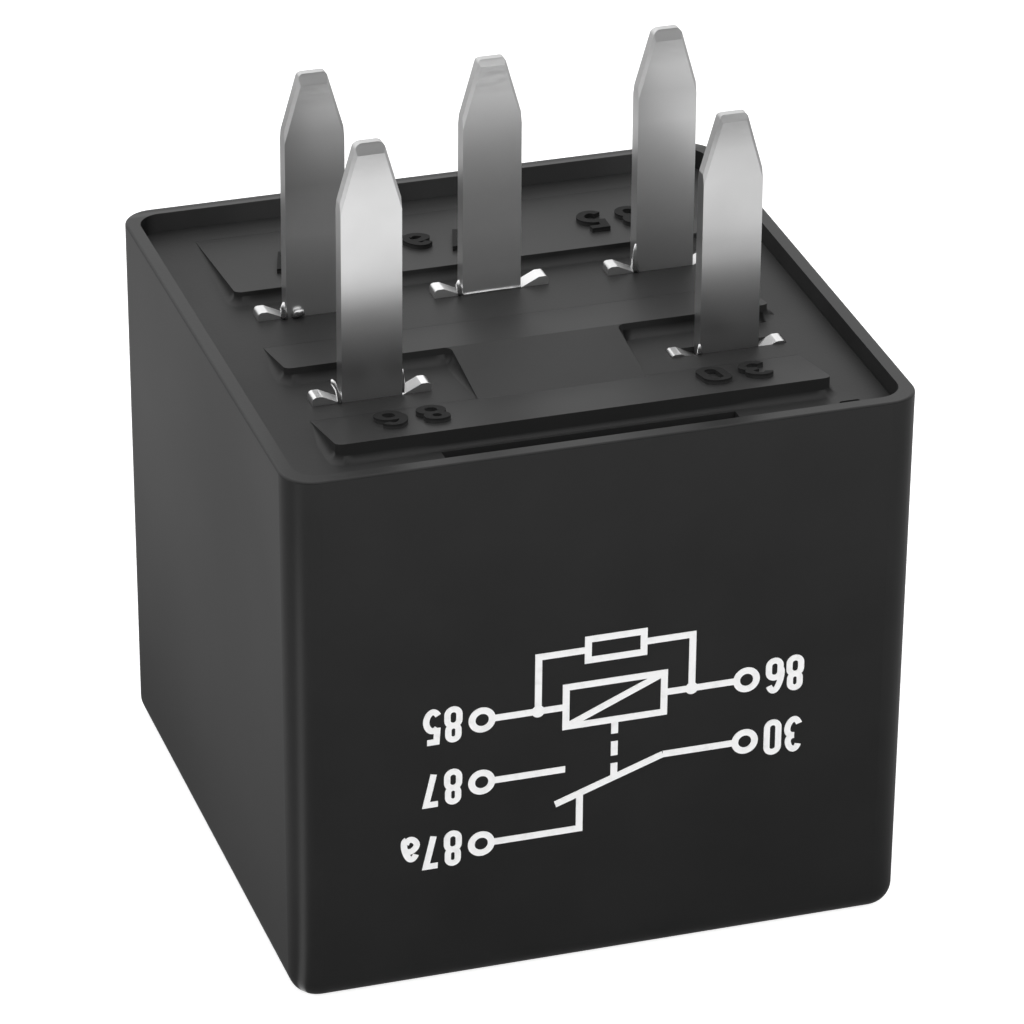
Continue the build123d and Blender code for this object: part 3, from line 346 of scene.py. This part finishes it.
# The can's inner rim wall gets painted light, three times paler
can = moulded_plastic(
    "can_plastic", grey(0.0135), grey(0.0165), 0.3, 0.36, black_shine, 0.1, inner_painted_light=3.0
)
base_plastic = numbered_plastic(
    "base_plastic", grey(0.02), grey(0.025), 0.46, 0.54, black_shine, 0.12
)
compound = moulded_plastic("compound", grey(0.021), grey(0.026), 0.46, 0.56, black_shine, 0.2)
iron = plain_metal("magnet_iron", grey(0.42), grey(0.56), 0.34)
silver = plain_metal("contact_silver", (0.7, 0.69, 0.66), (0.86, 0.85, 0.82), 0.2)
solder = plain_metal("solder", grey(0.5), grey(0.68), 0.3)
bronze = plain_metal("leaf_bronze", (0.52, 0.3, 0.13), (0.72, 0.46, 0.22), 0.26)
copper_wire = wound_copper()
nylon = moulded_plastic(
    "bobbin_nylon", (0.55, 0.5, 0.38), (0.62, 0.57, 0.45), 0.4, 0.5, pale_shine, 0.1
)
lacquer = moulded_plastic(
    "resistor_lacquer", (0.42, 0.33, 0.18), (0.5, 0.4, 0.24), 0.3, 0.4, pale_shine, 0.1
)

dress("cover", can)
dress("base", base_plastic)
dress("sealing_compound", compound)
dress("circuit_print", printed_ink())

# Share of a blade that is dull, and its painted reflection and shade as tones at heights in
# millimetres above the compound
blade_painted_tones = {
    "terminal_87": (0.07, [(0, 0.8), (4, 1.0), (6.5, 0.58), (9, 0.56), (11.5, 0.72)]),
    "terminal_86": (0.02, [(0, 0.95), (4.3, 0.86), (5.5, 1.0), (8, 0.97), (10, 0.86), (12, 0.74)]),
    "terminal_87a": (0.1, [(0, 0.85), (1.2, 1.0), (3, 1.0), (5, 0.82), (8, 0.77), (11, 0.76)]),
    "terminal_85": (0.1, [(0, 0.72), (2.5, 1.0), (7.5, 1.0), (9, 0.78), (11.5, 0.72)]),
    "terminal_30": (
        0.02,
        [(0, 0.75), (1.5, 0.95), (4.5, 1.0), (5.5, 0.82), (8.4, 0.78), (11, 0.6)],
    ),
}
for terminal, (dull_share, painted_tone_profile) in blade_painted_tones.items():
    dress(terminal, tin_plate(terminal, dull_share, painted_tone_profile))
for contact in ("fixed_contact_87", "fixed_contact_87a", "moving_contact"):
    dress(contact, silver)
for magnet_part in ("yoke", "core", "armature"):
    dress(magnet_part, iron)
dress("bobbin", nylon)
dress("coil_winding", copper_wire)
dress("coil_ends", copper_wire)
dress("solder_joints", solder)
dress("resistor_leads", solder)
dress("resistor", lacquer)
dress("contact_leaf", bronze)
dress("armature_rivets", bronze)
dress("return_spring", plain_metal("spring_steel", grey(0.5), grey(0.62), 0.22))
dress("braid", woven_copper())


# Pieces that the solids leave out: the compound's hollow edge along the ridges, and burrs

# Steps round a corner or a hollow, and the length of one step along a wall
curve_steps = 6
wall_step = 0.4

# How far the compound creeps: at most, as a share of the wall, and beside the open slit
creep_most = 0.4
creep_share = 0.8
creep_at_slit = 0.24
creep_past_slit = 0.1
slit_half = 6.8

# How deep a hollow edge sinks into what it touches
sunk = 0.004

# Points round a burr
burr_sides = 12


def add_piece(name, rows, closed, material):
    """Smooth mesh piece through rows of points in millimetres, riding on the relay."""
    across = len(rows[0])
    faces = []
    for row in range(len(rows) - 1):
        for step in range(across if closed else across - 1):
            one = row * across + step
            two = row * across + (step + 1) % across
            faces.append((one, two, two + across, one + across))
    if closed:
        faces.append(tuple(reversed(range(across))))
        faces.append(tuple(range((len(rows) - 1) * across, len(rows) * across)))
    mesh = bpy.data.meshes.new(name)
    mesh.from_pydata([Vector(point) * MM for row in rows for point in row], [], faces)
    mesh.update()
    for polygon in mesh.polygons:
        polygon.use_smooth = True
    mesh.materials.append(material)
    piece = bpy.data.objects.new(name, mesh)
    bpy.context.scene.collection.objects.link(piece)
    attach(piece, "relay")


def arc_points(centre_x, centre_y, radius, from_angle, to_angle, facing=1):
    """Points (x, y, outward x, outward y) round a corner of a wall."""
    points = []
    for step in range(curve_steps + 1):
        part = step / curve_steps
        angle = math.radians(from_angle + (to_angle - from_angle) * part)
        out_x, out_y = math.cos(angle), math.sin(angle)
        x = centre_x + radius * out_x
        y = centre_y + radius * out_y
        points.append((x, y, facing * out_x, facing * out_y))
    return points


def straight_points(start, end, out_x, out_y):
    """Points (x, y, outward x, outward y) along a straight wall."""
    count = max(2, round(math.dist(start, end) / wall_step))
    points = []
    for step in range(count + 1):
        part = step / count
        x = start[0] + (end[0] - start[0]) * part
        y = start[1] + (end[1] - start[1]) * part
        points.append((x, y, out_x, out_y))
    return points


def ridge_rise(ridge, y):
    """Height of a ridge above the compound at a place along its slope."""
    start_y, end_y, rise = ridge
    return rise * (start_y - y) / (start_y - end_y)


def hollow_edge(name, path, height_at):
    """Strip with a hollow section where the compound creeps up a wall."""
    rows = []
    for x, y, out_x, out_y in path:
        reach = min(creep_most, creep_share * max(0.0, height_at(x, y)))
        if y < front_ridge[1] + 0.01 and out_y < -0.9:
            past = min(1.0, max(0.0, abs(x) - slit_half))
            reach = min(reach, creep_at_slit + creep_past_slit * past)
        row = []
        for step in range(curve_steps + 1):
            turn = math.radians(90 / curve_steps * step)
            out = reach * (1 - math.cos(turn)) - sunk
            up = reach * (1 - math.sin(turn)) - sunk
            row.append((x + out_x * out, y + out_y * out, seal_z / MM + up))
        rows.append(row)
    add_piece(name, rows, False, compound)


def end_path(ridge, side):
    """Wall of a ridge's end, from its low edge to its front corner; side is -1 or 1."""
    start_y, end_y, _ = ridge
    edge_x = side * ridge_half
    centre_x = side * (ridge_half - ridge_corner)
    centre_y = end_y + ridge_corner
    path = straight_points((edge_x, start_y), (edge_x, centre_y), side, 0)
    turn = (180, 270) if side < 0 else (360, 270)
    return path + arc_points(centre_x, centre_y, ridge_corner, *turn)


def pocket_path(side):
    """Wall of one pocket: the middle ridge's end and front, then the side of the saddle."""
    end_y = mid_ridge[1]
    wall_x = saddle_left if side < 0 else saddle_right
    centre_x = wall_x + side * ridge_corner
    centre_y = end_y - ridge_corner
    from_x = side * (ridge_half - ridge_corner)
    path = end_path(mid_ridge, side)
    path += straight_points((from_x, end_y), (centre_x, end_y), 0, -1)
    turn = (90, 0) if side < 0 else (90, 180)
    path += arc_points(centre_x, centre_y, ridge_corner, *turn, facing=-1)
    return path + straight_points((wall_x, centre_y), (wall_x, saddle_front), side, 0)


def pocket_height(x, y):
    """Height of the wall round a pocket."""
    if y >= mid_ridge[1]:
        return ridge_rise(mid_ridge, y)
    part = (y - saddle_front) / (mid_ridge[1] - saddle_front)
    return saddle_low + (mid_ridge[2] - saddle_low) * part


for ridge_name, ridge in (("back", back_ridge), ("front", front_ridge)):
    right_end = end_path(ridge, 1)
    right_end.reverse()
    front_wall = straight_points(
        (ridge_corner - ridge_half, ridge[1]), (ridge_half - ridge_corner, ridge[1]), 0, -1
    )
    hollow_edge(
        f"hollow_edge_{ridge_name}",
        end_path(ridge, -1) + front_wall + right_end,
        lambda x, y, ridge=ridge: ridge_rise(ridge, y),
    )
hollow_edge("hollow_edge_left", pocket_path(-1), pocket_height)
hollow_edge("hollow_edge_right", pocket_path(1), pocket_height)


def burr(name, spine, radii):
    """Lumpy bead of metal along points in millimetres, with a radius at each."""
    rows = []
    for index, (point, radius) in enumerate(zip(spine, radii)):
        before = Vector(spine[max(index - 1, 0)])
        after = Vector(spine[min(index + 1, len(spine) - 1)])
        along = (after - before).normalized()
        side = along.cross(Vector((0.3, 0.8, 0.5))).normalized()
        over = along.cross(side)
        row = []
        for step in range(burr_sides):
            turn = math.radians(360 / burr_sides * step)
            wobble = 1 + 0.25 * math.sin(3 * turn + 2.1 * index) * math.cos(1.7 * index)
            spot = side * math.cos(turn) + over * math.sin(turn)
            row.append(Vector(point) + spot * radius * wobble)
        rows.append(row)
    add_piece(name, rows, True, tin_bead)


seal = seal_z / MM
tin_bead = plain_metal("tin_bead", grey(0.8), grey(0.95), 0.2)
burrs = {
    "burr_86_left": (
        [(-9.68, -5.75, 0.0), (-9.72, -5.68, 0.3), (-9.8, -5.6, 0.62), (-9.92, -5.5, 0.92)]
        + [(-10.0, -5.45, 1.08)],
        [0.09, 0.11, 0.08, 0.12, 0.04],
    ),
    "burr_86_right": (
        [(-6.76, -5.7, 0.1), (-6.74, -5.7, 0.5), (-6.76, -5.7, 0.95), (-6.78, -5.7, 1.25)],
        [0.06, 0.07, 0.05, 0.02],
    ),
    "burr_87_left": (
        [(-9.7, 3.25, 0.0), (-9.74, 3.2, 0.3), (-9.78, 3.2, 0.6), (-9.74, 3.22, 0.85)],
        [0.14, 0.17, 0.12, 0.05],
    ),
    "burr_87_front": (
        [(-9.3, 3.2, 0.05), (-9.15, 3.16, 0.25), (-8.95, 3.16, 0.3), (-8.8, 3.18, 0.1)],
        [0.1, 0.2, 0.18, 0.06],
    ),
    "burr_87a_left": (
        [(-1.3, 3.25, 0.05), (-1.36, 3.2, 0.3), (-1.42, 3.22, 0.6), (-1.4, 3.25, 0.8)],
        [0.1, 0.14, 0.12, 0.04],
    ),
    "burr_87a_foot": (
        [(-1.2, 3.26, 0.02), (-0.6, 3.25, 0.03), (0.1, 3.26, 0.03), (0.9, 3.25, 0.04)]
        + [(1.6, 3.27, 0.03)],
        [0.08, 0.06, 0.07, 0.06, 0.08],
    ),
    "burr_85_left": (
        [(7.25, 3.3, 0.0), (7.15, 3.25, 0.3), (7.12, 3.25, 0.7), (7.14, 3.27, 1.1)]
        + [(7.18, 3.28, 1.45)],
        [0.12, 0.17, 0.13, 0.09, 0.04],
    ),
    "burr_30_left": (
        [(7.2, -5.72, 0.0), (7.17, -5.74, 0.25), (7.18, -5.72, 0.5)],
        [0.1, 0.11, 0.05],
    ),
}
for burr_name, (spine, radii) in burrs.items():
    burr(burr_name, [(x, y, seal + z) for x, y, z in spine], radii)


# Floor, surroundings, lights and camera


def seen_or_mirrored(tree):
    """(1 for rays from the camera, 1 for rays mirrored by the object)."""
    rays = tree.nodes.new("ShaderNodeLightPath")
    return rays.outputs["Is Camera Ray"], rays.outputs["Is Glossy Ray"]


def pale_floor(near_glow, far_glow, front_glow, streak_glow):
    """Plain floor: white to the camera, with a soft shadow. What the object mirrors of it is
    dim near the object, brighter far out and in front, with a bright strip that leads away
    from the front left corner."""
    half = 3.0
    seen_white = 0.75
    streak_heading = (-0.906, -0.423, 0.0)
    mesh = bpy.data.meshes.new("floor")
    corners = [(-half, -half, 0), (half, -half, 0), (half, half, 0), (-half, half, 0)]
    mesh.from_pydata(corners, [], [(0, 1, 2, 3)])
    floor = bpy.data.objects.new("floor", mesh)
    bpy.context.scene.collection.objects.link(floor)

    material, tree, shader = new_material("floor")
    shader.inputs["Base Color"].default_value = (0.8, 0.8, 0.8, 1)
    shader.inputs["Roughness"].default_value = 0.9
    shader.inputs["Specular IOR Level"].default_value = 0.0
    camera_ray, mirror_ray = seen_or_mirrored(tree)

    low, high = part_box("cover")
    place = object_vector(tree)
    split = tree.nodes.new("ShaderNodeSeparateXYZ")
    tree.links.new(place, split.inputs[0])
    beside = calculate(tree, "ABSOLUTE", split.outputs["X"], 0.0)
    beyond = calculate(tree, "ABSOLUTE", split.outputs["Y"], 0.0)
    beyond = remap(tree, beyond, high.y, high.y + 100 * MM, high.x, high.x + 32 * MM)
    away = calculate(tree, "MAXIMUM", beside, beyond)
    around = remap(tree, away, high.x + 1 * MM, high.x + 12 * MM, near_glow, far_glow)
    ahead = remap(tree, split.outputs["Y"], -80 * MM, -45 * MM, front_glow, 1.0)
    around = calculate(tree, "MULTIPLY", around, ahead)

    from_corner = tree.nodes.new("ShaderNodeVectorMath")
    from_corner.operation = "SUBTRACT"
    from_corner.inputs[1].default_value = (low.x + 1.5 * MM, low.y + 1.5 * MM, 0)
    tree.links.new(place, from_corner.inputs[0])
    heading = tree.nodes.new("ShaderNodeVectorMath")
    heading.operation = "NORMALIZE"
    tree.links.new(from_corner.outputs[0], heading.inputs[0])
    toward = tree.nodes.new("ShaderNodeVectorMath")
    toward.operation = "DOT_PRODUCT"
    toward.inputs[1].default_value = streak_heading
    tree.links.new(heading.outputs[0], toward.inputs[0])
    streak = remap(tree, toward.outputs["Value"], 0.97, 0.992, 0.0, streak_glow)
    length = tree.nodes.new("ShaderNodeVectorMath")
    length.operation = "LENGTH"
    tree.links.new(from_corner.outputs[0], length.inputs[0])
    fade = remap(tree, length.outputs["Value"], 38 * MM, 46 * MM, 1.0, 0.0)
    streak = calculate(tree, "MULTIPLY", streak, fade)
    mirrored = calculate(tree, "ADD", around, streak)
    strength = calculate(tree, "MULTIPLY", mirrored, mirror_ray)
    white = calculate(tree, "MULTIPLY", camera_ray, seen_white)
    glow = tree.nodes.new("ShaderNodeEmission")
    tree.links.new(calculate(tree, "MAXIMUM", strength, white), glow.inputs["Strength"])

    # What the object mirrors is the glow alone; everything else sees the lit floor as well
    lit = tree.nodes.new("ShaderNodeAddShader")
    tree.links.new(shader.outputs[0], lit.inputs[0])
    tree.links.new(glow.outputs[0], lit.inputs[1])
    choice = tree.nodes.new("ShaderNodeMixShader")
    tree.links.new(mirror_ray, choice.inputs[0])
    tree.links.new(lit.outputs[0], choice.inputs[1])
    tree.links.new(glow.outputs[0], choice.inputs[2])
    output = tree.nodes["Material Output"]
    tree.links.new(choice.outputs[0], output.inputs["Surface"])
    mesh.materials.append(material)


def surroundings(ambient, front, back, low_part, high_part, front_high):
    """White to the camera and soft as a light. What the object mirrors of them is dark in
    front and bright behind, brighter overhead than near the horizon, and lifted high up in
    front."""
    world = bpy.data.worlds.new("studio")
    bpy.context.scene.world = world
    world.use_nodes = True
    tree = world.node_tree
    camera_ray, mirror_ray = seen_or_mirrored(tree)
    coords = tree.nodes.new("ShaderNodeTexCoord")
    split = tree.nodes.new("ShaderNodeSeparateXYZ")
    tree.links.new(coords.outputs["Generated"], split.inputs[0])
    across = remap(tree, split.outputs["Y"], -0.5, 0.3, front, back)
    upward = remap(tree, split.outputs["Z"], 0.2, 0.8, low_part, high_part)
    mirrored = calculate(tree, "MULTIPLY", across, upward)
    lifted = remap(tree, split.outputs["Z"], 0.5, 0.72, 0.0, front_high)
    ahead = remap(tree, split.outputs["Y"], -0.3, 0.0, 1.0, 0.0)
    lifted = calculate(tree, "MULTIPLY", lifted, ahead)
    mirrored = calculate(tree, "ADD", mirrored, lifted)
    extra = calculate(tree, "SUBTRACT", mirrored, ambient)
    extra = calculate(tree, "MULTIPLY", extra, mirror_ray)
    level = calculate(tree, "MAXIMUM", calculate(tree, "ADD", extra, ambient), camera_ray)
    tree.links.new(level, tree.nodes["Background"].inputs["Strength"])
    tree.nodes["Background"].inputs["Color"].default_value = (1, 1, 1, 1)


def softbox(name, place, target, width, height, power):
    """Rectangular lamp that faces a point."""
    lamp = bpy.data.lights.new(name, "AREA")
    lamp.shape = "RECTANGLE"
    lamp.size = width
    lamp.size_y = height
    lamp.energy = power
    box = bpy.data.objects.new(name, lamp)
    box.location = place
    box.rotation_euler = (Vector(target) - Vector(place)).to_track_quat("-Z", "Y").to_euler()
    box.visible_glossy = False
    bpy.context.scene.collection.objects.link(box)


def aim_camera(place, yaw, pitch, roll, lens):
    """Camera at a place in millimetres, turned by yaw, pitch and roll in radians."""
    data = bpy.data.cameras.new("camera")
    data.sensor_width = 36.0
    data.sensor_height = 36.0
    data.lens = lens
    data.clip_start = 0.01
    data.clip_end = 20.0
    camera = bpy.data.objects.new("camera", data)
    bpy.context.scene.collection.objects.link(camera)
    bpy.context.scene.camera = camera
    forward = Vector(
        (math.sin(yaw) * math.cos(pitch), math.cos(yaw) * math.cos(pitch), math.sin(pitch))
    )
    level = forward.cross(Vector((0, 0, 1))).normalized()
    upright = level.cross(forward)
    right = math.cos(roll) * level + math.sin(roll) * upright
    up = math.cos(roll) * upright - math.sin(roll) * level
    pose = Matrix((right, up, -forward)).transposed().to_4x4()
    pose.translation = Vector(place) * MM
    camera.matrix_world = pose


middle = (0, 0, 0.016)
pale_floor(near_glow=0.22, far_glow=0.45, front_glow=2.35, streak_glow=1.8)
surroundings(ambient=0.2, front=0.14, back=1.08, low_part=0.85, high_part=1.4, front_high=0.6)
softbox("left_box", (-0.42, 0.02, 0.2), middle, width=0.3, height=0.3, power=1.0)
softbox("top_box", (0.0, 0.05, 0.5), middle, width=0.4, height=0.4, power=1.2)
softbox("front_box", (0.15, -0.45, 0.32), middle, width=0.3, height=0.3, power=1.6)
aim_camera(
    (-74.7768, -232.083, 143.551), yaw=0.3125, pitch=-0.4831, roll=0.0076, lens=208.94
)
bpy.context.scene.view_settings.view_transform = "Standard"
